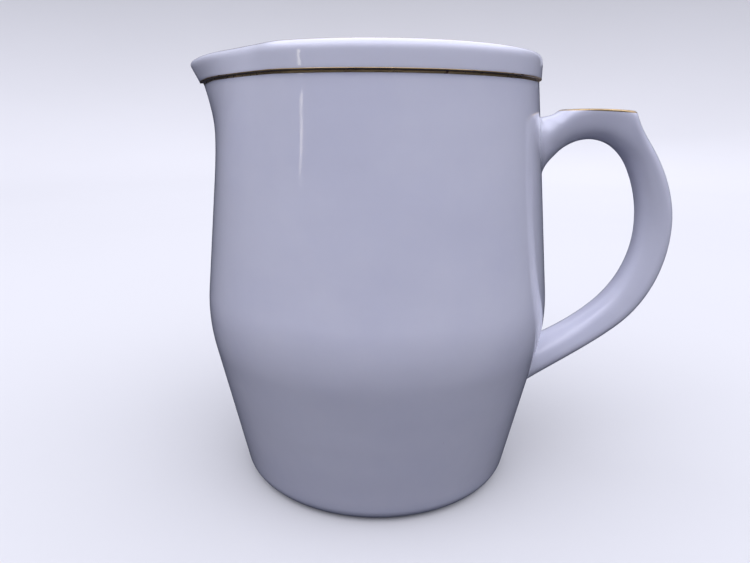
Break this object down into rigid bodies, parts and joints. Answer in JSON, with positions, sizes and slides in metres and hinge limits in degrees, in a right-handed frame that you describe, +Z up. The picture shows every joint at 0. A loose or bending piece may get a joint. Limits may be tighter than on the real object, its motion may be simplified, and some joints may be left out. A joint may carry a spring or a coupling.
{
  "type": "pitcher",
  "caption": "Glazed porcelain pitcher with a pulled V spout, proud rim band, ear handle with a flat thumb rest, and fine gold lines below the band, on the lip and round the rest",
  "frame": {"origin": "Bottom centre of the whole pitcher's bounding box, on the plane it stands on. The round body's own axis is vertical and stands 20.4 mm towards the spout from the origin", "axes": "+Z up. The spout points to -X and the handle to +X, in the mirror plane y = 0. +Y is across the pitcher"},
  "size_m": [0.1661, 0.119, 0.1438],
  "materials": {
    "glaze": "clear gloss glaze over white porcelain",
    "gold": "burnished gold lustre, slightly worn"
  },
  "bodies": {
    "root": {"vessel_body": "glaze", "handle": "glaze", "handle_slip_upper": "glaze", "handle_slip_lower": "glaze", "gold_line_collar": "gold", "gold_line_lip": "gold", "gold_line_thumb_rest": "gold"}
  },
  "joints": []
}
